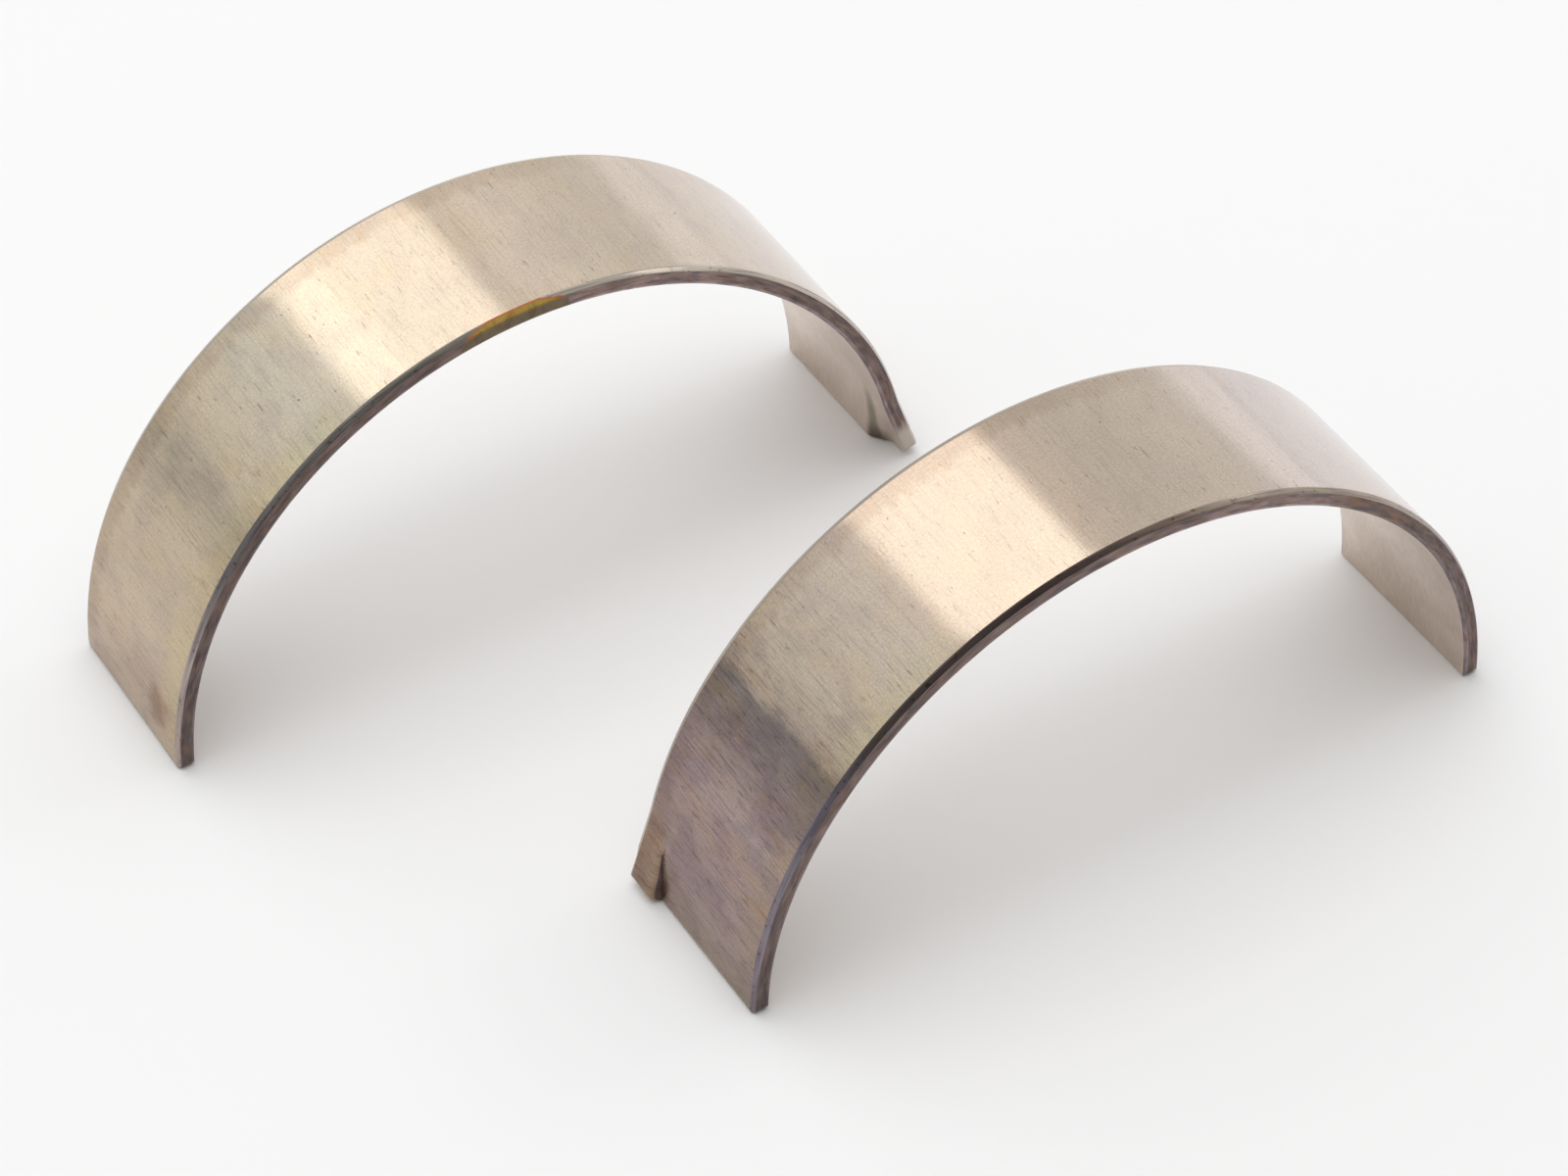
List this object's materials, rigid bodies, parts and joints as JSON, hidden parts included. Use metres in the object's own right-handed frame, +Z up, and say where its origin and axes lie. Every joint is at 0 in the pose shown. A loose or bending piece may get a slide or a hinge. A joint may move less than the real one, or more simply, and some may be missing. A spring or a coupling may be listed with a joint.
{
  "type": "plain bearing half shells",
  "caption": "Half-round steel-backed bearing shells with a smooth alloy-lined bore, plain parting faces and a locating tang pressed outwards at one end of each arc.",
  "frame": {"origin": "on the plane that both shells stand on, midway between them: the centre of the bottom of the bounding box", "axes": "+Y along both bearing axes, from the front shell to the rear one; +Z up, from the parting faces to the crowns; +X across the arches, towards the rear shell's tang"},
  "size_m": [0.096, 0.0636, 0.0342],
  "materials": {
    "tinned_steel": "satin flash plating, pale straw with grey and brown tarnish, dark raw end faces",
    "bearing_alloy": "smooth matt, pale pinkish grey"
  },
  "bodies": {
    "rear_shell": {"rear_steel_back": "tinned_steel", "rear_lining": "bearing_alloy"},
    "front_shell": {"front_steel_back": "tinned_steel", "front_lining": "bearing_alloy"}
  },
  "joints": [
    {"name": "front_shell_lift", "type": "slide", "parent": "rear_shell", "child": "front_shell", "axis": [0, 0, 1], "range_m": [0, 0.05]}
  ]
}
